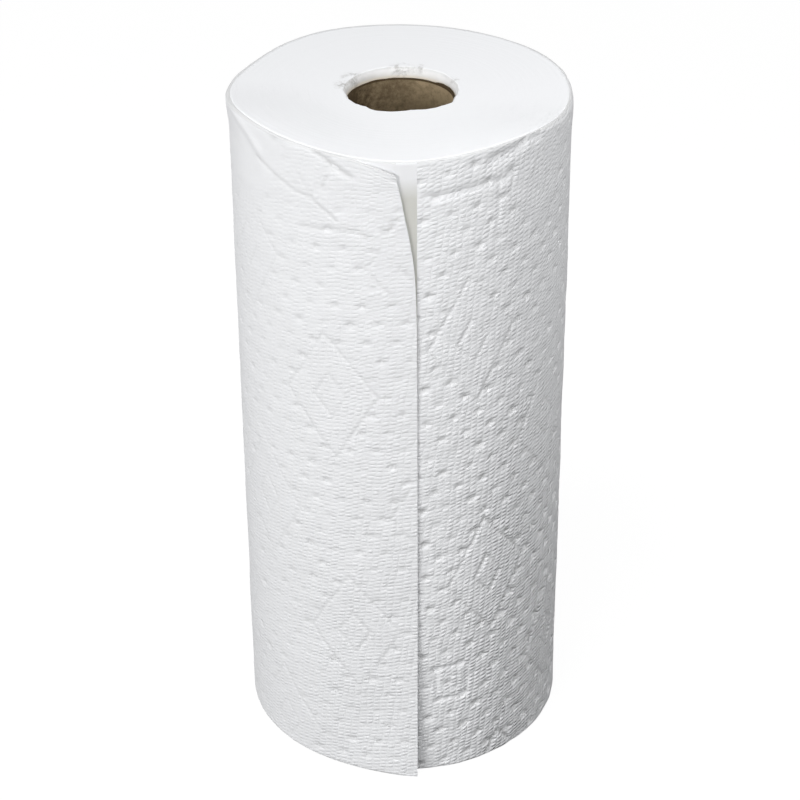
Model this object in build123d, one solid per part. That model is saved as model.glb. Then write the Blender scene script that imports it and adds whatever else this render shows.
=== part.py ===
from build123d import *
import math
import os

# A paper towel roll standing on end. Millimetres, +Z up, the roll's axis on Z and its base at z = 0.
# Angles round the roll are measured from the front (-Y) towards +X.

# The wound web of paper
sheet_width = 279.0
roll_radius = 65.85
hole_radius = 20.8
rim_bevel_across = 1.0
rim_bevel_down = 1.5

# The last turn runs clockwise from its loose end, and each turn lies one sheet lower than the one before
sheet_step = 0.6
tail_angle = 4.9

# The loose end, or tail: it lies close to the roll at mid height, and curls away at both corners
tail_thickness = 0.8
tail_root_depth = 0.8
tail_sweep = 1.5
curl_end_depth = 0.7
curl_end_reach = 6.0
curl_end_inset = 0.6
bottom_curl_height = 84.0
bottom_curl_lift = 5.6
bottom_curl_reach = 32.0
bottom_corner_angle = 6.2
middle_curl_lift = 1.7
middle_curl_reach = 16.0
top_peel_height = 60.0
top_peel_lift = 2.6
top_peel_reach = 16.0
top_corner_angle = -0.6

# The turns that show on the end faces, as one shallow spiral groove
turns_shown = 3
turn_groove_width = 0.7
turn_groove_depth = 0.5
turns_margin = 5.0

# The embossing: a diamond's pressed outline round a small pressed diamond, on a staggered grid that climbs
# a little to the right
diamond_width = 36.0
diamond_height = 53.6
inner_diamond_width = 13.3
inner_diamond_height = 17.2
emboss_line_width = 1.3
emboss_depth = 0.5
diamond_pitch_round = 64.7
diamond_pitch_up = 108.8
row_climb = 6.0
column_drift = 7.5
first_diamond_from_tail = 32.5
first_diamond_height = 181.4
diamond_edge_margin = 5.0
diamond_tail_margin = 3.0

# The cardboard core tube
core_wall = 0.7
core_recess = 4.0


round_the_roll = 2 * math.pi * roll_radius


def on_roll(radius, angle, height=0.0):
    """The point at an angle from the front, at a radius and a height."""
    turned = math.radians(angle)
    return (radius * math.sin(turned), -radius * math.cos(turned), height)


def wound_face(inset=0.0):
    """The roll's cross-section: two half circles that drop one sheet in a full turn, and the step between."""
    outer = roll_radius - inset
    quarter = sheet_step / 4
    first_end = -(outer - 2 * quarter)
    first = ThreePointArc((outer, 0), (quarter, -(outer - quarter)), (first_end, 0))
    second = ThreePointArc((first_end, 0), (-quarter, outer - 3 * quarter), (outer - sheet_step, 0))
    step = Line((outer - sheet_step, 0), (outer, 0))
    return Rot(0, 0, tail_angle - 90) * make_face(first + second + step)


def bevelled_envelope():
    """A turned shape that takes the sharp edge off the roll's two rims, where the paper gives a little."""
    outside = roll_radius + rim_bevel_across
    flat = roll_radius - rim_bevel_across
    low = 2 * rim_bevel_down
    high = sheet_width - low
    rims = [(flat, 0), (outside, low), (outside, high), (flat, sheet_width)]
    half = Polyline((0, 0), *rims, (0, sheet_width), (0, 0))
    return revolve(Plane.XZ * make_face(half), Axis.Z)


def turns_groove():
    """A spiral band of half circles about two centres, from beside the hole to beside the rim."""
    start = hole_radius + turns_margin
    end = roll_radius - turns_margin
    half_pitch = (end - start) / turns_shown / 2
    edges = Line((start, 0), (start + turn_groove_width, 0))
    edges += Line((end, 0), (end + turn_groove_width, 0))
    for half_turn in range(2 * turns_shown):
        side = 1 if half_turn % 2 == 0 else -1
        centre = 0 if side > 0 else half_pitch
        for width in (0, turn_groove_width):
            reach = side * (start + half_turn * half_pitch + width)
            edges += ThreePointArc((centre + reach, 0), (centre, reach), (centre - reach, 0))
    return extrude(make_face(edges), turn_groove_depth)


def diamond(width, height):
    """A flat diamond that leans with the grid's rows and columns."""
    slope = math.atan2(row_climb, diamond_pitch_round)
    lean = math.atan2(column_drift, diamond_pitch_up)
    across = (width / 2 * math.cos(slope), width / 2 * math.sin(slope))
    down = (height / 2 * math.sin(lean), -height / 2 * math.cos(lean))
    return Polygon(across, down, (-across[0], -across[1]), (-down[0], -down[1]), align=None)


def diamond_ring(width, height):
    """A diamond's outline as a band of even width, drawn flat."""
    side = math.hypot(width, height)
    wider = emboss_line_width * side / height
    taller = emboss_line_width * side / width
    return diamond(width + wider, height + taller) - diamond(width - wider, height - taller)


def diamond_places():
    """Each diamond's distance from the tail, measured back along the web, and its height."""
    places = []
    clear = diamond_width / 2 + diamond_tail_margin
    tall = diamond_height / 2 + diamond_edge_margin
    spare = 2
    columns = int(2 * round_the_roll / diamond_pitch_round)
    rows = int(sheet_width / diamond_pitch_up)
    for column in range(-spare, columns + spare):
        for row in range(-rows - spare, rows + spare):
            down = (row + (column % 2) / 2) * diamond_pitch_up
            height = first_diamond_height - down - column * row_climb / 2
            from_tail = first_diamond_from_tail + column * diamond_pitch_round / 2
            from_tail -= down * column_drift / diamond_pitch_up
            beside_tail = clear < from_tail < round_the_roll - clear
            if beside_tail and tall < height < sheet_width - tall:
                places.append((from_tail, height))
    return places


def emboss_bands():
    """What is pressed in at each diamond: its outline and the whole of the small diamond inside it."""
    bands = []
    pressed = diamond_ring(diamond_width, diamond_height)
    pressed += diamond(inner_diamond_width, inner_diamond_height)
    reach = diamond_width / 2 + 4 * emboss_line_width
    deep = 2 * emboss_depth + reach * reach / roll_radius
    core = extrude(wound_face(emboss_depth), sheet_width)
    for from_tail, height in diamond_places():
        angle = tail_angle - math.degrees(from_tail / roll_radius)
        start = on_roll(roll_radius + emboss_depth, angle, height)
        outward = Plane(origin=start, x_dir=on_roll(1, angle + 90), z_dir=on_roll(1, angle))
        bands.append(extrude(outward * pressed, deep, dir=on_roll(-1, angle)) - core)
    return bands


def tail_section(height, root, edge, lift):
    """One level cut through the tail: a thin strip that starts in the roll and ends at the free edge."""
    face_points = {-1: [], 1: []}
    steps = 5
    for index in range(steps + 1):
        along = index / steps
        middle = roll_radius - tail_root_depth + (lift + tail_root_depth) * along ** tail_sweep
        for side in face_points:
            radius = middle + side * tail_thickness / 2
            face_points[side].append(on_roll(radius, root + (edge - root) * along, height))
    inside = Spline(*face_points[-1])
    outside = Spline(*face_points[1])
    caps = Line(face_points[-1][0], face_points[1][0]) + Line(face_points[-1][-1], face_points[1][-1])
    return make_face(inside + outside + caps)


def bottom_curl():
    """The tail's lower corner, which curls away from the roll and dies out into it further up."""
    edge = tail_angle - curl_end_inset
    levels = [
        (0, bottom_corner_angle - bottom_curl_reach, bottom_corner_angle, bottom_curl_lift),
        (bottom_curl_height / 2, tail_angle - middle_curl_reach, tail_angle, middle_curl_lift),
        (bottom_curl_height, edge - curl_end_reach, edge, -curl_end_depth),
    ]
    return loft([tail_section(*level) for level in levels])


def top_peel():
    """The tail's upper corner, peeled back a little from the top down."""
    edge = tail_angle - curl_end_inset
    levels = [
        (sheet_width - top_peel_height, edge - curl_end_reach, edge, -curl_end_depth),
        (sheet_width, top_corner_angle - top_peel_reach, top_corner_angle, top_peel_lift),
    ]
    return loft([tail_section(*level) for level in levels])


def paper_roll():
    """The web of paper, wound tight: its turns are one solid."""
    roll = extrude(wound_face(), sheet_width) & bevelled_envelope()
    roll -= Pos(0, 0, sheet_width / 2) * Cylinder(hole_radius, 2 * sheet_width)
    groove = turns_groove()
    roll -= groove
    roll -= Pos(0, 0, sheet_width - turn_groove_depth) * groove
    for band in emboss_bands():
        roll -= band
    return roll + bottom_curl() + top_peel()


def core_tube():
    """The cardboard tube that the web is wound on, seated in its hole and a little short of the top."""
    length = sheet_width - core_recess
    wall = Circle(hole_radius) - Circle(hole_radius - core_wall)
    return extrude(wall, length)


if __name__ == "__main__":
    os.makedirs("parts", exist_ok=True)
    for name, piece in (("paper_roll", paper_roll()), ("core_tube", core_tube())):
        export_step(piece, f"parts/{name}.step")
        print(name, "volume", round(piece.volume / 1000, 2), "cm3, solids", len(piece.solids()))
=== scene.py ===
# %% [markdown]
# # A paper towel roll
# The frame holds the roll at its real size: a solid for the wound paper and one for the cardboard core.
# This lesson gives both their looks. The outer turn of paper is made as the real one is: flat sheets are
# embossed and then wound on. The wound body behind them and the core are turned on the roll's axis.

import math

import bmesh
import bpy
import numpy as np
from mathutils import Matrix, Vector


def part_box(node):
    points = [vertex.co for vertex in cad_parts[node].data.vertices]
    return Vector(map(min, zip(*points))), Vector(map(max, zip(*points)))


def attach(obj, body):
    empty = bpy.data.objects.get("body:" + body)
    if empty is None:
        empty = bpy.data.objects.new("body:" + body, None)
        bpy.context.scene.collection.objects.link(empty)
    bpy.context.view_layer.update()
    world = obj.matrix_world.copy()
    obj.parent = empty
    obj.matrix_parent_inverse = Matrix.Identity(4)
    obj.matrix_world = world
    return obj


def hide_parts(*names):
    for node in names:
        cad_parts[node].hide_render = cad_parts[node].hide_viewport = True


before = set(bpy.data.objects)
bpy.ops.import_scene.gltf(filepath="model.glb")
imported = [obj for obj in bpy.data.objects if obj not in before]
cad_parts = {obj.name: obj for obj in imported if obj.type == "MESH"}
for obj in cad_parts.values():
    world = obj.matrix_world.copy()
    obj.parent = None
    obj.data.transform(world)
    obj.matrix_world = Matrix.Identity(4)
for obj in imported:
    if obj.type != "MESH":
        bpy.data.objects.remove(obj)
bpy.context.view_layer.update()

# %% [markdown]
# The photograph looks down on the roll from in front, through a long lens. The camera's tilt, distance and
# focal length were fitted to the outlines of the top and the base. A long lens from further away would give
# almost the same picture, but the taper of the roll's two sides fixes the distance.

# %% The camera
mm = 0.001
roll_low, roll_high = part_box("paper_roll")
camera_tilt = math.radians(31.2)
camera_distance = 962.5 * mm
camera_lens = 105.48
camera_roll = math.radians(-0.2956)
camera_shift = (-0.0031, 0.0046)


def placed(name, data):
    """Puts a new object into the scene: a camera, a piece or a lamp."""
    new_object = bpy.data.objects.new(name, data)
    bpy.context.scene.collection.objects.link(new_object)
    return new_object


aim = Vector((0, 0, (roll_low[2] + roll_high[2]) / 2))
back = Vector((0, -math.cos(camera_tilt), math.sin(camera_tilt)))
camera_data = bpy.data.cameras.new("camera")
camera_data.lens = camera_lens
camera_data.sensor_width = 36
camera_data.shift_x, camera_data.shift_y = camera_shift
camera = placed("camera", camera_data)
camera.matrix_world = (
    Matrix.Translation(aim + back * camera_distance)
    @ (-back).to_track_quat("-Z", "Y").to_matrix().to_4x4()
    @ Matrix.Rotation(camera_roll, 4, "Z")
)
bpy.context.scene.camera = camera
print("camera at", [round(value, 3) for value in camera.matrix_world.translation])

# %% [markdown]
# Everything about the paper is measured in two ways. A point of the web has a distance along it from the
# loose end, a height across it, and a distance out from its face. Winding turns these into a place round the
# roll: each turn lies one sheet lower than the one outside it. All of it is in millimetres until the last
# step, because a sheet's details are a millimetre or less. The sizes come from the frame's solids where those
# hold them, so that the looks follow the part.

# %% The sizes that everything follows
web_width = (roll_high[2] - roll_low[2]) / mm
sheet_step = 0.6
roll_radius = (roll_high[0] - roll_low[0] + sheet_step * mm) / 2 / mm
round_the_roll = 2 * math.pi * roll_radius
tail_angle = math.radians(4.9)
sheet_length = 152.0
paper_thickness = 0.42
outer_turns_depth = 2.0
print("roll radius", round(roll_radius, 2), "mm, web width", round(web_width, 1), "mm")

# %% [markdown]
# Nothing on paper is perfectly even. Value noise gives slow, soft unevenness: random numbers on a coarse
# grid, with smooth steps between them. The generator is seeded, so that the roll is the same each time.

# %% Soft unevenness
def eased(share):
    return share * share * (3 - 2 * share)


def step_up(value, start, end):
    """0 before start, 1 after end, and smooth between them."""
    return eased(np.clip((value - start) / (end - start), 0, 1))


def soft_noise(along, up, size, seed):
    """Smooth unevenness from -1 to 1 with humps about size millimetres wide."""
    numbers = np.random.default_rng(seed).uniform(-1, 1, (256, 256))
    column, row = along / size + 50, up / size + 50
    first_column, first_row = np.floor(column).astype(int), np.floor(row).astype(int)
    across, over = eased(column - first_column), eased(row - first_row)
    left, right = first_column % 256, (first_column + 1) % 256
    low, high = first_row % 256, (first_row + 1) % 256
    bottom = numbers[left, low] * (1 - across) + numbers[right, low] * across
    top = numbers[left, high] * (1 - across) + numbers[right, high] * across
    return bottom * (1 - over) + top * over


def uneven(along, up, parts):
    """Unevenness of several sizes at once, from parts that each hold a height, a size and a seed."""
    return sum(height * soft_noise(along, up, size, seed) for height, size, seed in parts)


print("a smooth step from 0 to 1:", step_up(np.linspace(0, 1, 5), 0, 1).round(2))

# %% [markdown]
# The rims of a real roll aren't sharp. The side rolls over into the end face by a quarter of an ellipse,
# whose size changes round the roll: small at the front, and broad at the right, where a hand has held it.
# The outer turns have also slipped up the roll at the front, so their rim stands two or three millimetres
# proud there. The upper rim flares a little at the left and is pushed in behind that. Each form is a short
# table of sizes at some angles, in millimetres. Angles are in degrees from the front, positive towards +X.

# %% Rounding the rims
rim_angles = (-180, -120, -90, -75, -60, -45, -30, -15, -7, 10, 18, 27, 45, 55, 66, 78, 95, 120)
rim_across = (1.0, 1.2, 1.4, 1.0, 0.8, 0.6, 0.6, 0.6, 0.6, 0.7, 0.8, 0.8, 0.8, 0.9, 1.2, 1.5, 1.6, 1.0)
rim_down = (1.0, 1.2, 2.0, 1.2, 0.8, 0.6, 0.6, 0.6, 0.6, 0.8, 0.8, 0.9, 1.0, 1.4, 3.2, 5.2, 6.0, 1.0)
rim_rise = (0, 0, 0.3, 2.0, 3.2, 3.0, 2.2, 1.0, 0.4, 0.3, 1.2, 1.8, 2.3, 1.7, 0.6, 0.1, 0, 0)
flare_angles = (-180, -150, -115, -92, -60, 60, 85, 110, 145)
rim_flare = (0.5, 1.9, -1.6, 1.4, 0, 0, 0.5, 0.7, -0.3)
flare_height = 13.0
rise_height = 25.0
foot_across = 1.2
foot_down = 1.2
web_top = web_width + 1.0
quarter_turn = math.pi / 2
web_bottom = foot_down - quarter_turn * foot_across


def around(angle, angles, values):
    """Values given at some angles, carried smoothly all the way round the roll."""
    offsets = (-8, -4, 0, 4, 8)
    return sum(np.interp(angle + offset, angles, values, period=360) for offset in offsets) / len(offsets)


def rounded_rims(up, angle):
    """How far in from the side, and at what height, a point of the web lies."""
    across, down = around(angle, rim_angles, rim_across), around(angle, rim_angles, rim_down)
    shoulder = web_width - down
    over = np.clip((up - shoulder) / (web_top - shoulder), 0, 1) * quarter_turn
    under = np.clip((foot_down - up) / (foot_down - web_bottom), 0, 1) * quarter_turn
    flare = around(angle, flare_angles, rim_flare) * step_up(up, web_width - flare_height, web_width)
    inward = across * (1 - np.cos(over)) + foot_across * (1 - np.cos(under)) - flare
    height = np.minimum(np.maximum(up, foot_down), shoulder) + down * np.sin(over) - foot_down * np.sin(under)
    rise = around(angle, rim_angles, rim_rise) * step_up(up, web_width - rise_height, web_width)
    return inward, height + rise


print("web from", round(web_bottom, 2), "to", round(web_top, 2), "mm")

# %% [markdown]
# The web is embossed with a common pattern: a slanting lattice of small pits, where every seventh place each
# way has two nested diamonds instead. In steps along the lattice's own two directions a diamond is a plain
# square, and a pit sits at each whole number. The pattern was laid on the two sides of the loose end as they
# show, and between them it is carried round the back by a smooth cubic. It needs no drawing by hand, and it
# can't go out of step with itself. The column of diamonds right under the tail doesn't show, so it has pits
# instead. Places are (distance along the web, height), and each climb is the drop of a row over one pitch.

# %% The lattice
steps_per_diamond = 7
diamond_pitch_up = 109.3
column_drift = 8.2
near_diamond = (34.0, 179.3)
near_pitch, near_climb = 77.0, 7.2
far_diamond = (387.4, 203.1)
far_pitch, far_climb = 72.7, 10.3
columns_between = 4.5
last_column = -4.9
back_start, back_end = 100.0, 325.0


def carried_round(along, near, near_slope, far, far_slope):
    """A straight line through each measured diamond, joined round the back by a cubic."""
    first = near + near_slope * (back_start - near_diamond[0])
    last = far + far_slope * (back_end - far_diamond[0])
    span = back_end - back_start
    share = np.clip((along - back_start) / span, 0, 1)
    value = (
        first * (1 + 2 * share) * (1 - share) ** 2
        + last * share * share * (3 - 2 * share)
        + near_slope * span * share * (1 - share) ** 2
        - far_slope * span * share * share * (1 - share)
    )
    before = np.minimum(along - back_start, 0) * near_slope
    after = np.maximum(along - back_end, 0) * far_slope
    return value + before + after


def lattice_place(along, up):
    """A point's place in steps along the lattice's two slanting directions, from a diamond's centre."""
    far_row = far_diamond[1] - diamond_pitch_up / 2
    down = 0
    for _ in range(2):
        level = along + down * column_drift
        row = carried_round(level, near_diamond[1], -near_climb / near_pitch, far_row, -far_climb / far_pitch)
        down = (row - up) / diamond_pitch_up
    column = carried_round(level, 0, -1 / near_pitch, -columns_between, -1 / far_pitch)
    return steps_per_diamond * (column + down), steps_per_diamond * (down - column)


print("a diamond every", near_pitch, "mm along the web and every", diamond_pitch_up, "mm up it")

# %% [markdown]
# The relief is the sum of pressed lines and pits, each a smooth hollow a millimetre or two wide. They are
# real shape, not bump, because they show in the light and along the roll's edge. They fade out at the rims,
# where the paper is stretched over the turns' edges. On the turn beneath, the lines that fall to the right
# are pressed less deep than the others.

# %% The embossed relief
# Half the sides of the two nested diamonds in steps, and the length of a step
diamonds = (1.74, 0.6)
step_size = 8.7
line_half_width = 0.75
line_depth = 0.48
flatter_lines = 0.25
lines_stray = 0.45
stray_size = 9
# How much of the lines is kept at some distances along the web
lines_kept = ((250, 330, 355, 385), (0.65, 0.3, 0.4, 0.75))
# A step in each of the lattice's directions, sideways and downwards
first_step = (5.9, 7.2)
second_step = (-4.7, 8.45)
pit_size = (1.75, 1.2)
pit_depth = 0.6
pit_slant = math.radians(14)
pit_free = 1.9
# How evenly lines and pits are pressed: the mean, then the height, the size and the seed of the unevenness
line_wear = (0.8, 0.5, 6, 23)
pit_wear = (0.85, 0.85, 5, 24)
# Pairs of distances along the web: far round to the left, where the turn beneath takes over, and at the right
far_left, next_turn, far_right = (30, 65), (250, 330), (368, 406)
# The depth kept at four heights by the loose sheet and by the one beneath, with the share of it that is left
# far round to the left, and far round to the right
relief_levels = (50, 110, 200, 262)
pressed_relief = ((0.85, 0.9, 0.8, 0.5), (2.2, 1.7, 1.1, 0.9), 0.7, (1.9, 1.7, 1.35, 1.3))
fine_texture = ((1.3, 1.15, 0.75, 0.6), (1.5, 1.3, 1.0, 0.9), 0.7, (2.9, 2.6, 1.4, 1.5))


def centred(steps, period):
    return steps - period * np.round(steps / period)


def worn(along, up, mean, height, size, seed):
    """The share of a depth that is there, uneven from place to place."""
    return mean + height * soft_noise(along, up, size, seed)


def pressed_lines(along, up, first, second):
    """How far in the diamonds' lines are pressed."""
    off_first = np.abs(centred(first, steps_per_diamond))
    off_second = np.abs(centred(second, steps_per_diamond))
    in_diamond = np.maximum(off_first, off_second)
    pressed = np.zeros_like(along)
    for size in diamonds:
        off_line = (in_diamond - size) * step_size / line_half_width
        pressed += line_depth * np.exp(-off_line * off_line)
    flatter = flatter_lines * (off_second > off_first) * step_up(along, *next_turn)
    return pressed * (worn(along, up, *line_wear) * np.interp(along, *lines_kept) * (1 - flatter))


def pressed_pits(along, up, first, second):
    """How far in the pits are pressed."""
    near_first, near_second = centred(first, 1), centred(second, 1)
    sideways = near_first * first_step[0] + near_second * second_step[0]
    downwards = near_first * first_step[1] + near_second * second_step[1]
    along_pit = sideways * math.cos(pit_slant) - downwards * math.sin(pit_slant)
    across_pit = sideways * math.sin(pit_slant) + downwards * math.cos(pit_slant)
    off_pit = (along_pit / pit_size[0]) ** 2 + (across_pit / pit_size[1]) ** 2
    return pit_depth * worn(along, up, *pit_wear) * np.exp(-off_pit)


def from_diamond(first, second):
    """How far the nearest pit's centre is from the nearest diamond's, in steps."""
    first_pit = centred(np.round(first), steps_per_diamond)
    second_pit = centred(np.round(second), steps_per_diamond)
    return np.maximum(np.abs(first_pit), np.abs(second_pit))


def emboss(along, up):
    """How far in the embossing presses the paper at each point."""
    aside = lines_stray * soft_noise(along, up, stray_size, 21)
    over = lines_stray * soft_noise(along, up, stray_size, 22)
    first, second = lattice_place(along + aside, up + over)
    column = (np.round(first / steps_per_diamond) - np.round(second / steps_per_diamond)) / 2
    diamond_shows = column > last_column
    has_pit = (from_diamond(first, second) > pit_free) | ~diamond_shows
    lines = pressed_lines(along, up, first, second) * diamond_shows
    return lines + pressed_pits(along, up, first, second) * has_pit


def crispness(along, up, outer, inner, left, right):
    """How deep the relief still is: the handled outer sheet is flatter, and so is the upper part."""
    at_right = 1 - step_up(along, *far_right)
    outer = np.interp(up, relief_levels, outer) * (1 + (left - 1) * step_up(along, *far_left))
    inner = np.interp(up, relief_levels, inner) * (1 + (np.interp(up, relief_levels, right) - 1) * at_right)
    beneath = step_up(along, *next_turn)
    return outer * (1 - beneath) + inner * beneath


print("the diamonds' sides in mm:", [round(2 * size * step_size, 1) for size in diamonds])

# %% [markdown]
# The roll has been handled. Two folds run down from the upper left rim, small ones lie beside the rim and
# the tail, and the side is dented at the upper right. Low at the right, the print of a turn beneath shows
# through. Each of them is a hollow, or a ridge, along a line of places, worked out from the distance to that
# line. The outer sheet's folds are also painted a little darker, as shade in them. Elsewhere the paper is
# only soft and uneven, and more so on the turn under the loose sheet. The upper left has been rubbed smooth.

# %% Folds and dents
def along_at(angle, turn=0):
    """The distance along the web of a place seen at an angle from the front, in degrees."""
    return roll_radius * (tail_angle - math.radians(angle)) + turn * round_the_roll


def from_line(along, up, start, end):
    """The distance of each point of the web from the line between two places, as (along, up)."""
    run, rise = end[0] - start[0], end[1] - start[1]
    share = ((along - start[0]) * run + (up - start[1]) * rise) / (run * run + rise * rise)
    share = np.clip(share, 0, 1)
    return np.hypot(along - start[0] - share * run, up - start[1] - share * rise)


def crease(along, up, turn, places):
    """The distance of each point of the web from a line through places given as (angle, height)."""
    places = [(along_at(angle, turn), height) for angle, height in places]
    return np.min([from_line(along, up, *pair) for pair in zip(places, places[1:])], axis=0)


# How dark the painted shade in the outer sheet's folds is, for each millimetre of a fold's depth
fold_shade = 2.0
rubbed_away = 0.8
rubbed_from, rubbed_until = (40, 60), (110, 140)
least_crumpled = 0.4
crumpled_from = (340, 380)
# Each part of the unevenness: its height, its size and its seed
softness = ((0.18, 23, 3), (0.1, 9, 4))
crumpling = ((0.13, 4.5, 5), (0.07, 2.4, 6))
# Each crease: the turn that it lies on, its half width, its depth, and its places as (angle, height)
creases = (
    (0, 0.6, 0.3, ((-54, 268), (-42, 264), (-37, 262), (-30, 261), (-23, 256), (-21, 254))),
    (0, 1.0, 0.2, ((-34, 249), (-25, 250), (-18, 251), (-13, 250), (-10, 249))),
    (0, 0.9, 0.45, ((-38, 279), (-34, 280), (-30, 279), (-25, 277), (-22, 275), (-18, 273), (-16, 272))),
    (0, 0.7, 0.2, ((-24, 270), (-26, 266))),
    (0, 0.8, 0.25, ((-1, 257), (-3, 256), (-3, 253), (-6, 251))),
    (0, 1.8, 0.4, ((-76, 280), (-63, 280), (-50, 280), (-45, 278))),
    (0, 2.0, -0.4, ((-78, 280), (-70, 278), (-61, 275), (-52, 270))),
    (1, 2.2, 0.8, ((30, 274), (36, 275), (42, 276))),
    (1, 2.0, 0.7, ((44, 278), (50, 277))),
    (1, 1.6, 0.5, ((7, 265), (17, 265), (26, 266), (33, 266), (38, 267))),
    (1, 1.0, 0.35, ((33, 266), (33, 243))),
    (1, 0.7, 0.6, ((12, 52), (23, 52), (23, 36), (13, 36), (11.5, 42), (12, 52))),
    (1, 0.6, 0.3, ((16, 47), (20, 47), (20, 41), (16, 41), (16, 47))),
    (1, 0.8, 0.4, ((33.5, 2), (36, 10), (38.5, 8), (43, 3))),
)


def rubbed(along, up):
    """The share of the relief that has been rubbed away at the upper left of the outer sheet."""
    edge = web_width - 22 - 18 * step_up(along, 48, 78)
    smoothed = rubbed_away * step_up(up, edge, edge + 20)
    return smoothed * step_up(along, *rubbed_from) * (1 - step_up(along, *rubbed_until))


def handling(along, up):
    """How far out the paper stands from its even winding, and the shade painted into the outer sheet's folds.
    """
    crumpled = least_crumpled + (1 - least_crumpled) * step_up(along, *crumpled_from)
    out = uneven(along, up, softness) + crumpled * uneven(along, up, crumpling)
    painted_fold_shade = np.zeros_like(along)
    for turn, width, depth, places in creases:
        hollow = depth * np.exp(-((crease(along, up, turn, places) / width) ** 2))
        out = out - hollow
        if turn == 0:
            painted_fold_shade = painted_fold_shade + fold_shade * np.maximum(hollow, 0)
    return out, painted_fold_shade


print(len(creases), "folds and dents,", sum(turn == 0 for turn, *_ in creases), "of them on the loose sheet")

# %% [markdown]
# The loose end, or tail, lies on the roll only at mid height. Both its corners have come away: the lower one
# stands off by nearly four millimetres, and the upper one is bent back and hangs a little. How far it stands
# off grows as a power of the distance from where it leaves the roll.

# %% The tail
tail_sweep = 1.6
tail_heights = (0, 40, 84, 219, 250, web_width)
tail_lifts = (3.8, 1.7, 0.35, 0.35, 0.45, 1.2)
tail_reaches = (37, 19, 8, 8, 13, 20)
edge_heights = (0, 84, 170, 215, 236, 249, 262, web_width)
edge_shifts = (0.4, 0, 0, 0.2, 0.9, 2.8, 5.3, 7.7)
trim_reach = 40
corner_droop = 4.6
droop_from = (web_width - 16, web_top)


def smooth_table(value, places, values):
    """Values between the given ones, without corners at the given places."""
    sharp = np.interp(value, places, values)
    spread = [np.interp(value + offset, places, values) for offset in (-6, -3, 3, 6)]
    return (2 * sharp + sum(spread)) / 6


def trimmed(along, up):
    """The web moved along so that it ends on the tail's real edge."""
    shift = smooth_table(up, edge_heights, edge_shifts)
    return along + shift * np.clip(1 - along / trim_reach, 0, 1)


def tail_lift(along, up):
    """How far the tail stands off the roll, and how far its top hangs down."""
    reach = smooth_table(up, tail_heights, tail_reaches)
    edge = smooth_table(up, edge_heights, edge_shifts)
    share = np.clip(1 - (along - edge) / reach, 0, 1) ** tail_sweep
    lift = smooth_table(up, tail_heights, tail_lifts) * share
    droop = corner_droop * share * step_up(up, *droop_from)
    return lift, droop


print("the tail stands off by", [round(float(tail_lift(0, up)[0]), 1) for up in tail_heights], "mm")

# %% [markdown]
# Now the sheets. Each is a fine flat grid for its face and a coarse one for its back, joined round the edges,
# so it is a closed thin solid. Making the back coarse keeps half the triangles for the face, where the
# relief needs them. A flat sheet's points are then pressed, trimmed, lifted and wound in one go.

# %% Flat sheets
coarse_cell = 3.4
fine_per_coarse = 5
sharp_angle = 1.0


def flat_grid(bm, along, up, cells, out):
    """A grid in the plane of the web, between two distances along it and two heights."""
    place = Matrix.Translation((sum(along) / 2, out, sum(up) / 2))
    size = Matrix.Diagonal((along[1] - along[0], up[1] - up[0], 1, 1))
    bmesh.ops.create_grid(
        bm, x_segments=cells[0], y_segments=cells[1], size=0.5,
        matrix=place @ Matrix.Rotation(math.pi / 2, 4, "X") @ size,
    )


def closed_round(bm):
    """Joins a face and a back round their edges, and keeps those edges sharp."""
    bmesh.ops.bridge_loops(bm, edges=[edge for edge in bm.edges if edge.is_boundary])
    for edge in bm.edges:
        edge.smooth = edge.calc_face_angle(0) < sharp_angle


def flat_sheet(start, end):
    """A closed flat sheet: a fine face at y = 0 and a coarse back at y = -1."""
    bm = bmesh.new()
    along, up = (start, end), (web_bottom, web_top)
    cells = [round((end - start) / coarse_cell), round((web_top - web_bottom) / coarse_cell)]
    flat_grid(bm, along, up, [count * fine_per_coarse for count in cells], 0)
    flat_grid(bm, along, up, cells, -1)
    closed_round(bm)
    return bm


print("each cell of a face is", coarse_cell / fine_per_coarse, "mm")

# %% [markdown]
# A sheet is joined to the next by a perforated line: short cuts with narrow bridges between them. The cuts
# are pressed in as a row of dashes along both edges. After the winding, each four-sided face is split along
# its shorter diagonal. The splits then follow the pressed lines, which stay clean whichever way they run.

# %% Winding the sheets on
cut_length = 4.6
bridge_length = 1.4
cut_depth = 0.35
cut_half_width = 0.8
rim_tuck = 0.15
# Painted shade along the sheets' top rim, which takes down its bright line
painted_rim_shade_strength = 1.3
# Pairs of distances in millimetres: each thing named here sets in between them
relief_from_end, relief_from_foot = (0, 3), (web_bottom, 4)
bare_rim = (web_top - 4, web_top - 1)
rounding_from_end = (2, 22)
thick_from_end = (46, 60)
calm_beneath_tail = (round_the_roll - 4, round_the_roll)
tucked_rim = (web_top - 1.2, web_top)
dark_rim = (web_width - 0.9, web_width - 0.1)


def perforation(along, up):
    """How far the cuts between two sheets open the paper."""
    off = (along - sheet_length * np.round(along / sheet_length)) / cut_half_width
    in_cut = np.mod(up, cut_length + bridge_length) < cut_length
    return cut_depth * np.exp(-off * off) * in_cut * (along > sheet_length / 2)


def back_depth(along):
    """How far in a sheet's back lies: paper-thin at the tail, and standing for two turns elsewhere."""
    elsewhere = outer_turns_depth - sheet_step * along / round_the_roll
    return paper_thickness + (elsewhere - paper_thickness) * step_up(along, *thick_from_end)


def beneath_tail(along):
    """1 where the sheet beneath the tail has stayed smooth, and 0 elsewhere."""
    return step_up(along, round_the_roll - 0.3, round_the_roll + 0.3)


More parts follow.
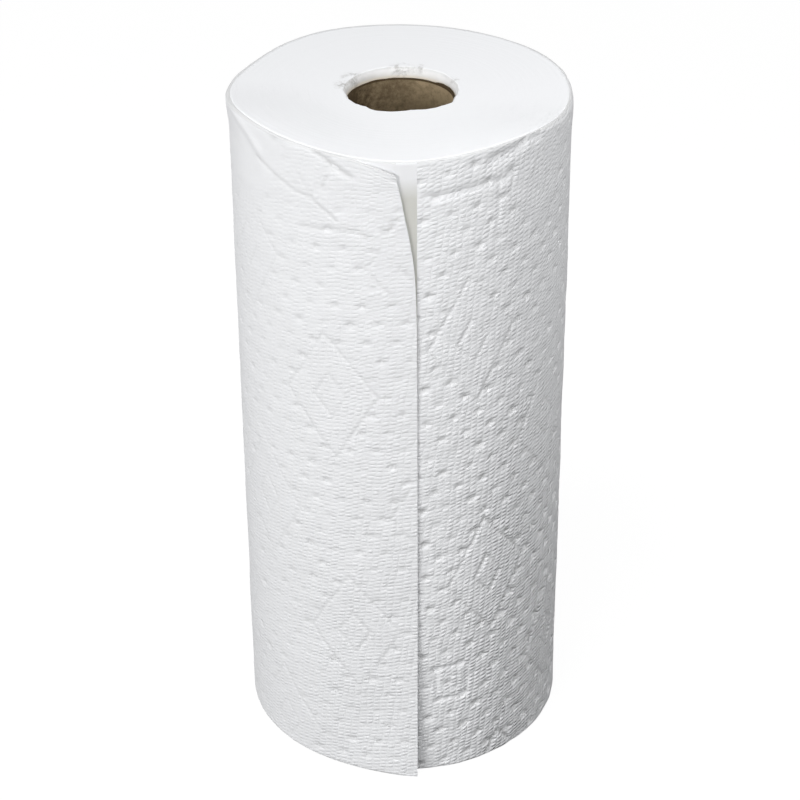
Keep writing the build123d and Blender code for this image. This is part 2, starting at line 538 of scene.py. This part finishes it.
def wind(points):
    """Moves flat points, as columns of along, out and up, to their places on the roll, in metres."""
    along, out, up = points.T
    face = 1 + out
    along = trimmed(along, up)
    not_smooth = (1 - rubbed(along, up)) * (1 - beneath_tail(along))
    texture = crispness(along, up, *fine_texture) * not_smooth
    relief_kept = crispness(along, up, *pressed_relief) * not_smooth
    fade = step_up(up, *relief_from_foot) * (1 - step_up(up, *bare_rim))
    pressed = emboss(along, up) * relief_kept * fade * step_up(along, *relief_from_end)
    calm = 1 - step_up(along, *calm_beneath_tail)
    out_of_true, painted_fold_shade = handling(along, up)
    relief = out_of_true * calm - (pressed + perforation(along, up)) * face
    lift, droop = tail_lift(along, up)
    angle = tail_angle - along / roll_radius
    inward, height = rounded_rims(up, np.degrees(angle))
    inward = inward * step_up(along, *rounding_from_end)
    radius = roll_radius - sheet_step * along / round_the_roll - inward + lift + relief
    radius = radius + out * back_depth(along)
    height = height - droop - rim_tuck * step_up(up, *tucked_rim)
    place = np.stack((radius * np.sin(angle), -radius * np.cos(angle), height), axis=1)
    web = np.stack((along, up, out), axis=1)
    # Painted shade along the top rim; with the pressing and the folds' painted shade it darkens the paper's
    # colour
    painted_rim_shade = painted_rim_shade_strength * step_up(up, *dark_rim)
    return place * mm, web * mm, texture, pressed + painted_rim_shade + painted_fold_shade * (face > 0.5)


def finished(bm, mesh):
    """Puts a bmesh into the scene as a smooth-shaded piece, named after its mesh."""
    bmesh.ops.recalc_face_normals(bm, faces=bm.faces)
    bm.to_mesh(mesh)
    open_edges = sum(edge.is_boundary for edge in bm.edges)
    print(mesh.name, "has", len(bm.faces), "faces and", open_edges, "open edges")
    bm.free()
    mesh.shade_smooth()
    return placed(mesh.name, mesh)


def wound_sheet(name, start, end):
    """A sheet of the outer turn, with its web coordinates kept for the material."""
    bm = flat_sheet(start, end)
    mesh = bpy.data.meshes.new(name)
    bm.to_mesh(mesh)
    bm.free()
    points = np.empty(3 * len(mesh.vertices))
    mesh.vertices.foreach_get("co", points)
    place, web, texture, pressed = wind(points.reshape(-1, 3))
    mesh.vertices.foreach_set("co", place.ravel())
    mesh.attributes.new("web", "FLOAT_VECTOR", "POINT").data.foreach_set("vector", web.ravel())
    mesh.attributes.new("texture", "FLOAT", "POINT").data.foreach_set("value", texture)
    # pressed holds the pressing's depth together with the painted shade of the top rim and the folds
    mesh.attributes.new("pressed", "FLOAT", "POINT").data.foreach_set("value", pressed)
    bm = bmesh.new()
    bm.from_mesh(mesh)
    bmesh.ops.triangulate(bm, faces=bm.faces, quad_method="SHORT_EDGE")
    return finished(bm, mesh)


sheet_names = ("loose_sheet", "second_sheet", "third_sheet")
sheets = [
    wound_sheet(name, number * sheet_length, (number + 1) * sheet_length)
    for number, name in enumerate(sheet_names)
]

# %% [markdown]
# The towel is two plies. At the bent-back corner the upper ply has parted from the lower one, whose straight
# edge still lies on the roll: a smooth strip between the slanting edge and the next turn, painted grey as the
# upper ply's shadow. It is one small sheet, wound just above the turn beneath it, and it narrows downwards so
# that the tail covers it.

# %% The lower ply at the corner
ply_width = 7.5
ply_bottom = 190.0
ply_top = 279.0
ply_cells = (16, 130)
ply_thickness = 0.25
ply_clearance = 0.06
ply_hollow = 0.4
narrowest = 0.25
widening = (225, 262)
hollowing = (1.5, 7)


def lower_ply():
    """The strip of the lower ply, pressed down towards its straight edge."""
    bm = bmesh.new()
    for out in (0, -1):
        flat_grid(bm, (0, ply_width), (ply_bottom, ply_top), ply_cells, out)
    closed_round(bm)
    for point in bm.verts:
        along, out, up = point.co
        along *= narrowest + (1 - narrowest) * float(step_up(up, *widening))
        angle = tail_angle - along / roll_radius
        inward, height = rounded_rims(np.array([up]), np.array([math.degrees(angle)]))
        radius = roll_radius - sheet_step + ply_clearance + ply_thickness * out - float(inward[0])
        radius += ply_hollow * float(step_up(along, *hollowing))
        point.co = Vector((radius * math.sin(angle), -radius * math.cos(angle), float(height[0]))) * mm
    return finished(bm, bpy.data.meshes.new("lower_ply"))


ply = lower_ply()

# %% [markdown]
# Behind the outer turns is the wound body. Its section is drawn once, from the hole's lower lip up the hole,
# over the lip, across the top, down behind the sheets and back across the base, and spun round the axis.
# The end faces are the edges of about seventy-five turns, so the section wavers a little across them. After
# the spin, the top's rim is moved in, out and up to meet the sheets, so that the end face is a shallow dish,
# and the lip of the hole is made uneven, as torn and squeezed paper is.

# %% The wound body
hole_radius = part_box("core_tube")[1][0] / mm
body_radius = roll_radius - outer_turns_depth
turns_wave = 0.05
face_points = 110
body_steps = 288
lip_across = 1.6
lip_down = 3.6
loosened = 0.3
pushed_from = 45
dished_from = 26
lip_wave = (0.25, 2.2, 31)
lip_angles = (-100, -75, -54, -41, -27, -10, 11, 31, 47, 59, 73, 90, 150)
lip_shifts = (-0.3, -0.9, -1.1, -2.1, -1.2, -2.0, -3.3, -1.6, -0.7, 0.5, -0.5, -0.3, 0.1)
under_edge = 0.5
above_sheets = 0.05
# The lip's unevenness sets in between these heights, and fades out between these radii
torn_heights, torn_radii = (web_width - 3.8, web_width - 0.8), (23, 32)


def end_face(inner, outer, height, outwards):
    """Points across an end face, from the hole to the rim, which waver as the turns' edges do."""
    rng = np.random.default_rng(11 if outwards > 0 else 12)
    waver = rng.uniform(-1, 0, face_points) * turns_wave
    waver[0] = waver[-1] = 0
    return [
        (inner + (outer - inner) * place / (face_points - 1), height + outwards * waver[place])
        for place in range(face_points)
    ]


def quarter(centre, across, down, start, steps):
    """Points round a quarter of an ellipse, from a start angle in degrees, turning clockwise."""
    turns = [math.radians(start - 90 * step / steps) for step in range(steps + 1)]
    return [(centre[0] + across * math.cos(turn), centre[1] + down * math.sin(turn)) for turn in turns]


def body_section():
    """The closed outline of half the wound body, as (radius, height) points."""
    rim_radius = roll_radius - under_edge
    loose = hole_radius + loosened
    hole = [(hole_radius, 0.6), (hole_radius, 120), (hole_radius, web_width - 14), (loose, web_width - 7)]
    lip = quarter((loose + lip_across, web_width - lip_down), lip_across, lip_down, 180, 8)
    top = end_face(loose + lip_across + 0.5, rim_radius - 1.5, web_width, 1)
    rim = [(rim_radius - 0.6, web_width + above_sheets), (rim_radius, web_width - 0.4)]
    behind = [(body_radius - 1, web_width - 1.6), (body_radius - 1, web_width - 4)]
    behind += [(body_radius, web_width - flare_height), (body_radius, 80)]
    foot = quarter((body_radius - foot_across, foot_down), foot_across, foot_down, 0, 4)
    base = end_face(hole_radius + 0.7, body_radius - foot_across - 0.5, 0, -1)
    return hole + lip + top + rim + behind + foot + base[::-1]


def spun(name, section, steps):
    """A closed outline of (radius, height) points in millimetres, spun all the way round the axis."""
    bm = bmesh.new()
    points = [bm.verts.new((radius * mm, 0, height * mm)) for radius, height in section]
    edges = [bm.edges.new(pair) for pair in zip(points, points[1:] + points[:1])]
    bmesh.ops.spin(
        bm, geom=points + edges, cent=(0, 0, 0), axis=(0, 0, 1), angle=2 * math.pi, steps=steps,
        use_merge=True,
    )
    return finished(bm, bpy.data.meshes.new(name))


def moved_points(piece, move):
    """Puts each point of a spun piece where move says, from its radius, angle in degrees and height."""
    mesh = piece.data
    points = np.empty(3 * len(mesh.vertices))
    mesh.vertices.foreach_get("co", points)
    across, deep, height = points.reshape(-1, 3).T / mm
    radius, angle, height = move(np.hypot(across, deep), np.degrees(np.arctan2(across, -deep)), height)
    turned = np.radians(angle)
    place = np.stack((radius * np.sin(turned), -radius * np.cos(turned), height), axis=1) * mm
    mesh.vertices.foreach_set("co", place.ravel())
    mesh.update()


def fit_body(radius, angle, height):
    """The wound body's top, fitted to the sheets' rim, with an uneven lip round the hole."""
    near_top = step_up(height, web_width - flare_height, web_width)
    rim = step_up(radius, pushed_from, roll_radius - 1) * near_top
    shift = around(angle, flare_angles, rim_flare) - around(angle, rim_angles, rim_across)
    lip = step_up(height, *torn_heights) * (1 - step_up(radius, *torn_radii))
    turned = np.radians(angle)
    wave = uneven(hole_radius * np.sin(turned), hole_radius * np.cos(turned), [lip_wave])
    wave = wave + np.interp(angle, lip_angles, lip_shifts, period=360)
    dish = step_up(radius, dished_from, roll_radius - 1.2)
    lifted = dish * near_top * around(angle, rim_angles, rim_rise)
    return radius + rim * shift + lip * wave, angle, height + lifted


wound_body = spun("wound_body", body_section(), body_steps)
moved_points(wound_body, fit_body)

# %% [markdown]
# The core is a tube of grey-brown board, wound from strips, a little short of the paper at the top. Its rim
# is slightly furred, so its corners are rounded and the cut wavers.

# %% The core tube
core_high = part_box("core_tube")[1]
core_gap = 0.02
board_thickness = 0.7
core_outer = core_high[0] / mm - core_gap
core_inner = core_outer - board_thickness
core_top = core_high[2] / mm
core_steps = 160
ring_spacing = 12
rim_rounding = 0.15
rim_wave = (0.15, 3, 41)
# The cut rim is pushed up between these angles, by so many millimetres
rim_push = ((95, 112, 128, 140), (0, 0.9, 0.8, 0))


def core_section():
    """The closed outline of half the tube's wall."""
    rings = range(int(core_top / ring_spacing))
    inner = [(core_inner, core_top - 0.2 - ring_spacing * ring) for ring in rings]
    outer = [(core_outer, 0.2 + ring_spacing * ring) for ring in rings]
    narrow, wide = core_inner + rim_rounding, core_outer - rim_rounding
    rim_top = [(core_outer, core_top - 0.2), (wide, core_top), (narrow, core_top)]
    rim_base = [(core_inner, 0.2), (narrow, 0), (wide, 0)]
    return outer + rim_top + inner + rim_base


def fit_tube(radius, angle, height):
    """The tube's rim, cut a little unevenly and pushed up at the back right."""
    near_rim = step_up(height, core_top - 1, core_top - 0.2)
    turned = np.radians(angle)
    wave = uneven(core_outer * np.sin(turned), core_outer * np.cos(turned), [rim_wave])
    wave = wave + np.interp(angle, *rim_push)
    return radius, angle, height + near_rim * wave


core = spun("core_board_tube", core_section(), core_steps)
moved_points(core, fit_tube)

# %% [markdown]
# A material is a small graph of nodes. A few helpers keep it readable in code: each makes one or two nodes,
# for a sum, a noise, a bump, a point's place or a ramp of colours. Their inputs are plain numbers or other
# nodes' outputs.

# %% Helpers for materials
def new_material(name):
    material = bpy.data.materials.new(name)
    material.use_nodes = True
    tree = material.node_tree
    shader = tree.nodes["Principled BSDF"]
    return material, tree, shader


def link(tree, source, target):
    tree.links.new(source, target)


def maths(tree, operation, first, second=None):
    """A Math node. Each input is a number or another node's output."""
    node = tree.nodes.new("ShaderNodeMath")
    node.operation = operation
    for socket, value in zip(node.inputs, (first, second)):
        if isinstance(value, (int, float)):
            socket.default_value = value
        elif value is not None:
            link(tree, value, socket)
    return node.outputs[0]


def times(tree, first, second):
    return maths(tree, "MULTIPLY", first, second)


def plus(tree, first, second):
    return maths(tree, "ADD", first, second)


def minus(tree, first, second):
    return maths(tree, "SUBTRACT", first, second)


def dot(tree, vector, direction):
    node = tree.nodes.new("ShaderNodeVectorMath")
    node.operation = "DOT_PRODUCT"
    link(tree, vector, node.inputs[0])
    node.inputs[1].default_value = direction
    return node.outputs["Value"]


def noise(tree, vector, scale, detail=2.0, roughness=0.5):
    node = tree.nodes.new("ShaderNodeTexNoise")
    link(tree, vector, node.inputs["Vector"])
    node.inputs["Scale"].default_value = scale
    node.inputs["Detail"].default_value = detail
    node.inputs["Roughness"].default_value = roughness
    return node.outputs["Fac"]


def bump(tree, height, distance):
    node = tree.nodes.new("ShaderNodeBump")
    node.inputs["Distance"].default_value = distance
    link(tree, height, node.inputs["Height"])
    return node.outputs["Normal"]


def object_place(tree):
    """A point's place on the piece, whole and as its three distances."""
    place = tree.nodes.new("ShaderNodeTexCoord").outputs["Object"]
    parts = tree.nodes.new("ShaderNodeSeparateXYZ")
    link(tree, place, parts.inputs[0])
    return place, parts.outputs["X"], parts.outputs["Y"], parts.outputs["Z"]


def colour_ramp(tree, share, stops):
    """The colour at a share, from stops that each hold a share from 0 to 1 and a colour."""
    ramp = tree.nodes.new("ShaderNodeValToRGB")
    elements = ramp.color_ramp.elements
    for element, (level, colour) in zip(elements, (stops[0], stops[-1])):
        element.position = level
        element.color = colour
    for level, colour in stops[1:-1]:
        elements.new(level).color = colour
    link(tree, share, ramp.inputs["Fac"])
    return ramp.outputs["Color"]


print("the helpers for materials are ready")

# %% [markdown]
# Paper needs two things: a colour that is almost white and a surface that scatters light evenly. The fine
# texture is the mark of the mesh belt that the web was dried on. It is far finer than the sheets' grid, so
# it is bump, worked out from the web coordinates so that it follows the paper round the roll. The noise
# makes its rows and columns stray, and each column has its rows a little out of line with the next one's.
# Where the paper is pressed it is a little greyer, partly from the pressing and partly as painted shade in
# the hollows. The outer sheet's folds and the top rim are painted darker, as shade.

# %% The paper's face
paper_white = (0.888, 0.895, 0.91, 1)
pressed_and_shade_grey = (0.74, 0.745, 0.75, 1)
row_break = 0.65
cell_depth = 0.19 * mm
row_waves = (-106.5, -583.6, 0)
column_waves = (-363.0, -41.5, 0)


def paper_shader(shader):
    shader.inputs["Base Color"].default_value = paper_white
    shader.inputs["Roughness"].default_value = 1.0
    shader.inputs["Specular IOR Level"].default_value = 0.1


def pillow(tree, waves, sharpness):
    """Rounded ridges, one for each wave, with narrow grooves between them."""
    ridge = maths(tree, "ABSOLUTE", maths(tree, "SINE", times(tree, waves, math.pi)))
    return maths(tree, "POWER", ridge, sharpness)


def random_number(tree, first, second=None):
    """A number from 0 to 1 that belongs to a whole number, or to a pair of them."""
    pair = tree.nodes.new("ShaderNodeCombineXYZ")
    link(tree, first, pair.inputs["X"])
    if second is not None:
        link(tree, second, pair.inputs["Y"])
    number = tree.nodes.new("ShaderNodeTexWhiteNoise")
    number.noise_dimensions = "2D"
    link(tree, pair.outputs[0], number.inputs["Vector"])
    return number.outputs["Value"]


def read_attribute(tree, name):
    """What a sheet's points hold under a name: a place on the web, or a plain number."""
    node = tree.nodes.new("ShaderNodeAttribute")
    node.attribute_name = name
    return node


def stray(tree, place, scale, amount):
    """A soft wandering to both sides, by half the amount at most."""
    return times(tree, minus(tree, noise(tree, place, scale, 2), 0.5), amount)


def face_material():
    """Embossed towel: small pillows, 1.7 mm high and 2.8 mm wide, in slanting rows, and no two alike."""
    material, tree, shader = new_material("towel_face")
    paper_shader(shader)
    web = read_attribute(tree, "web").outputs["Vector"]
    crisp = read_attribute(tree, "texture").outputs["Fac"]
    pressed = read_attribute(tree, "pressed").outputs["Fac"]
    columns = plus(tree, dot(tree, web, column_waves), stray(tree, web, 60, 1.6))
    rows = plus(tree, dot(tree, web, row_waves), stray(tree, web, 110, 1.4))
    column_number = random_number(tree, maths(tree, "FLOOR", columns))
    rows = plus(tree, rows, times(tree, column_number, row_break))
    column_ridges = plus(tree, times(tree, pillow(tree, columns, 0.9), 0.9), 0.1)
    cells = times(tree, pillow(tree, rows, 0.8), column_ridges)
    number = random_number(tree, maths(tree, "FLOOR", rows), maths(tree, "FLOOR", columns))
    tall = plus(tree, times(tree, number, 0.8), 0.35)
    height = times(tree, cells, tall)
    height = plus(tree, height, times(tree, noise(tree, web, 900, 3), 0.5))
    height = times(tree, height, crisp)
    link(tree, bump(tree, height, cell_depth), shader.inputs["Normal"])
    # The grey is partly the pressing and partly painted shade in the hollows, the folds and along the rim
    colour = colour_ramp(tree, pressed, ((0, paper_white), (1, pressed_and_shade_grey)))
    link(tree, colour, shader.inputs["Base Color"])
    return material


towel_face = face_material()
print("made", towel_face.name, "with", len(towel_face.node_tree.nodes), "nodes")

# %% [markdown]
# The end faces are the cut edges of the turns. Only a faint spiral shows, so it is bump: a wave of the
# distance from the axis, moved on by one turn's thickness in each turn round. Their white is painted a little
# lighter than the side's paper, as light on the face that looks up. Round the hole the paper is torn. The
# lip's tone changes with height, as painted light: a warm glow bounced from the board low down, and painted
# shade above it. A few grey spots lie beside it, each a soft spot that lets only the peaks of a noise
# through.

# %% The end faces
# A little whiter than the side's paper: painted light, for the end face that looks up to the lamps
ends_painted_lighter_white = (0.903, 0.912, 0.93, 1)
spot_grey = (0.38, 0.37, 0.35, 1)
# The lip's painted light from the core's top up to the end face, as heights in millimetres and whites: a warm
# painted glow bounced from the board low down, then painted shade where the lip turns towards the lamps
lip_painted_light = (
    (275, (0.86, 0.79, 0.67)), (276.2, (0.88, 0.87, 0.85)), (277.4, (0.9, 0.9, 0.9)),
    (278, (0.86, 0.86, 0.86)), (278.5, (0.74, 0.74, 0.74)), (278.8, (0.72, 0.72, 0.72)),
)
lip_top = 278.9
lip_reach = 30
lower_end = 200
# Grey spots on the end face beside the hole: a place across and deep in millimetres, a reach, and a strength
grey_spots = ((0, 21, 5.5, 1.3), (7, 21, 4, 1), (-18, 12, 6, 1.2), (-22, 5, 5, 1), (20, 9, 3, 0.9))
spot_limit = 0.6


def spotted(tree, place, below):
    """How much of the spots' grey shows at a place, and none at the roll's lower end."""
    streaks = minus(tree, noise(tree, place, 420, 4, 0.7), 0.45)
    total = 0.0
    for across, deep, reach, strength in grey_spots:
        away = tree.nodes.new("ShaderNodeVectorMath")
        away.operation = "DISTANCE"
        link(tree, place, away.inputs[0])
        away.inputs[1].default_value = (across * mm, deep * mm, web_width * mm)
        near = minus(tree, 1.0, maths(tree, "DIVIDE", away.outputs["Value"], reach * mm))
        spot = times(tree, maths(tree, "MAXIMUM", near, 0.0), strength)
        total = plus(tree, total, spot)
    shown = times(tree, maths(tree, "MAXIMUM", streaks, 0.0), times(tree, total, 5.0))
    shown = maths(tree, "MINIMUM", shown, spot_limit)
    return times(tree, shown, minus(tree, 1.0, below))


def painted_lip_tones(tree, height, plain):
    """The lip's painted light and shade by height, and the end face's white wherever plain is 1."""
    lowest = lip_painted_light[0][0]
    stops = [((level - lowest) / (lip_top - lowest), (*tone, 1)) for level, tone in lip_painted_light]
    above = maths(tree, "DIVIDE", minus(tree, height, lowest * mm), (lip_top - lowest) * mm)
    return colour_ramp(tree, maths(tree, "MAXIMUM", above, plain), stops + [(1, ends_painted_lighter_white)])


def ends_material():
    """The edges of the turns: a fine spiral with soft unevenness, painted light on the lip, and grey spots
    beside the hole.
    """
    material, tree, shader = new_material("towel_ends")
    paper_shader(shader)
    place, across, deep, height = object_place(tree)
    radius = maths(tree, "SQRT", plus(tree, times(tree, across, across), times(tree, deep, deep)))
    turn = maths(tree, "DIVIDE", maths(tree, "ARCTAN2", deep, across), 2 * math.pi)
    turns = plus(tree, maths(tree, "DIVIDE", radius, sheet_step * mm), turn)
    edges = maths(tree, "COSINE", times(tree, turns, 2 * math.pi))
    relief = times(tree, edges, times(tree, noise(tree, place, 90, 3), 0.5))
    relief = plus(tree, relief, noise(tree, place, 700, 4))
    link(tree, bump(tree, relief, 0.02 * mm), shader.inputs["Normal"])
    below = maths(tree, "LESS_THAN", height, lower_end * mm)
    plain = maths(tree, "MAXIMUM", below, maths(tree, "GREATER_THAN", radius, lip_reach * mm))
    mix = tree.nodes.new("ShaderNodeMixRGB")
    mix.inputs["Color2"].default_value = spot_grey
    link(tree, spotted(tree, place, below), mix.inputs["Fac"])
    link(tree, painted_lip_tones(tree, height, plain), mix.inputs["Color1"])
    link(tree, mix.outputs["Color"], shader.inputs["Base Color"])
    return material


towel_ends = ends_material()
print("made", towel_ends.name, "with", len(grey_spots), "grey_spots")

# %% [markdown]
# The single ply is painted grey as the shadow that the upper ply casts on it. Near the rim it is as white as
# the rest.

# %% The single ply
# Painted shadow grey, for the upper ply's shadow on the strip
ply_painted_shadow = (0.66, 0.66, 0.62, 1)
ply_white_from = 273
ply_shadow_fade = 8


def ply_material():
    """A single ply, painted grey below as the upper ply's shadow, and white at its top."""
    material, tree, shader = new_material("ply_with_painted_shadow")
    paper_shader(shader)
    height = object_place(tree)[-1]
    from_top = maths(tree, "DIVIDE", minus(tree, ply_white_from * mm, height), ply_shadow_fade * mm)
    colour = colour_ramp(tree, from_top, ((0, paper_white), (1, ply_painted_shadow)))
    link(tree, colour, shader.inputs["Base Color"])
    return material


ply_with_painted_shadow = ply_material()
print("made", ply_with_painted_shadow.name)

# %% [markdown]
# The core's board is made from waste paper: grey-brown, with patches and fine fibres. Two noises, one broad
# and one fine, choose its place between a dark and a light brown. It is painted lighter towards the right, as
# the light that the lamp at the left throws into the tube, with painted shade at the left. It is also darker
# along the cut rim.

# %% The core board
board_browns = ((0.5, (0.06, 0.04, 0.02, 1)), (0.97, (0.33, 0.255, 0.155, 1)))
# Painted light: the board gets lighter towards the right over so many millimetres, with painted shade at the
# left
painted_light_over = 85
cut_rim = 0.6
rim_darkening = 0.6


def board_material():
    """Grey-brown board with long fibres and darker flecks, painted lighter to the right as light, and darker
    on the rim.
    """
    material, tree, shader = new_material("core_board")
    shader.inputs["Roughness"].default_value = 0.9
    shader.inputs["Specular IOR Level"].default_value = 0.2
    place, across, _, height = object_place(tree)
    patches = noise(tree, place, 60, 4, 0.65)
    fibres = noise(tree, place, 500, 5, 0.75)
    light = times(tree, plus(tree, patches, fibres), 0.75)
    # Painted light and shade across the tube, from the left to the right
    light = plus(tree, light, maths(tree, "DIVIDE", across, painted_light_over * mm))
    on_rim = maths(tree, "GREATER_THAN", height, core_top * mm - cut_rim * mm)
    light = minus(tree, light, times(tree, on_rim, rim_darkening))
    link(tree, colour_ramp(tree, light, board_browns), shader.inputs["Base Color"])
    link(tree, bump(tree, fibres, 0.15 * mm), shader.inputs["Normal"])
    return material


core_board = board_material()
print("made", core_board.name)

# %% [markdown]
# Each piece gets its material, rides on the roll's only body and takes the place of one of the frame's two
# solids. Its material's name says what it is made of.

# %% Dress the pieces and let them ride
for sheet in sheets:
    sheet.data.materials.append(towel_face)
wound_body.data.materials.append(towel_ends)
ply.data.materials.append(ply_with_painted_shadow)
core.data.materials.append(core_board)

for piece in sheets + [ply, wound_body]:
    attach(piece, "root")
    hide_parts("paper_roll")
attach(core, "root")
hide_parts("core_tube")
print("dressed", [piece.name for piece in sheets + [ply, wound_body, core]])

# %% [markdown]
# The photograph is a studio one on white. The floor looks white to the camera, but it sends back little
# light, and it keeps the roll's soft shadow. A plain white floor would brighten the lower part of the side.
# A Light Path node tells the camera's rays from the others, so that each kind meets its own shader.

# %% The floor
floor_grey = (0.12, 0.12, 0.12, 1)
floor_glow = 0.92
floor_reach = 3


def show(tree, lit, seen, output):
    """Shows one shader to rays from the camera, mirrors and glass, and lights the roll by the other."""
    rays = tree.nodes.new("ShaderNodeLightPath")
    direct = maths(tree, "MAXIMUM", rays.outputs["Is Camera Ray"], rays.outputs["Is Glossy Ray"])
    direct = maths(tree, "MAXIMUM", direct, rays.outputs["Is Transmission Ray"])
    mix = tree.nodes.new("ShaderNodeMixShader")
    link(tree, direct, mix.inputs[0])
    link(tree, lit.outputs[0], mix.inputs[1])
    link(tree, seen.outputs[0], mix.inputs[2])
    link(tree, mix.outputs[0], output.inputs["Surface"])


def floor_material():
    material, tree, shader = new_material("floor")
    tree.nodes.remove(shader)
    plain = tree.nodes.new("ShaderNodeBsdfDiffuse")
    plain.inputs["Color"].default_value = floor_grey
    glow = tree.nodes.new("ShaderNodeEmission")
    glow.inputs["Strength"].default_value = floor_glow
    seen = tree.nodes.new("ShaderNodeAddShader")
    link(tree, plain.outputs[0], seen.inputs[0])
    link(tree, glow.outputs[0], seen.inputs[1])
    show(tree, plain, seen, tree.nodes["Material Output"])
    return material


bm = bmesh.new()
bmesh.ops.create_grid(bm, x_segments=8, y_segments=8, size=floor_reach)
floor_mesh = bpy.data.meshes.new("floor")
bm.to_mesh(floor_mesh)
bm.free()
floor = placed("floor", floor_mesh)
floor_mesh.materials.append(floor_material())
print("the floor reaches", floor_reach, "m to each side")

# %% [markdown]
# A soft lamp low at the left does most of the work, a weak one in front and a small one near the right side
# soften the shade, and one high at the left lights the end face. Low lamps suit a textured side, because
# they graze it. The world fills the rest, so that the right side falls into grey.

# %% The world and the lamps
world_strength = 0.465
# Each lamp: its name, its place in metres, its width in metres and its watts
lamps = (
    ("left_low", (-1.02, -1.02, 0.53), 0.7, 10.3),
    ("front_low", (-0.25, -1.39, 0.65), 0.4, 1.5),
    ("left_high", (-0.28, -0.49, 1.53), 0.4, 4.9),
    ("right_near", (0.4, -0.3, 0.6), 0.3, 1.25),
)


def world_material():
    world = bpy.data.worlds.new("studio")
    world.use_nodes = True
    tree = world.node_tree
    plain = tree.nodes["Background"]
    plain.inputs["Strength"].default_value = world_strength
    plain.inputs["Color"].default_value = (1, 1, 1, 1)
    white = tree.nodes.new("ShaderNodeBackground")
    white.inputs["Color"].default_value = (1, 1, 1, 1)
    show(tree, plain, white, tree.nodes["World Output"])
    return world


def lamp(name, place, size, watts):
    """A square soft lamp aimed at the middle of the roll."""
    place = Vector(place)
    light = bpy.data.lights.new(name, "AREA")
    light.energy = watts
    light.size = size
    holder = placed(name, light)
    holder.location = place
    holder.rotation_euler = (aim - place).to_track_quat("-Z", "Y").to_euler()


bpy.context.scene.world = world_material()
for name, place, size, watts in lamps:
    lamp(name, place, size, watts)
bpy.context.scene.view_settings.view_transform = "Standard"
print("lamps:", [name for name, *_ in lamps])
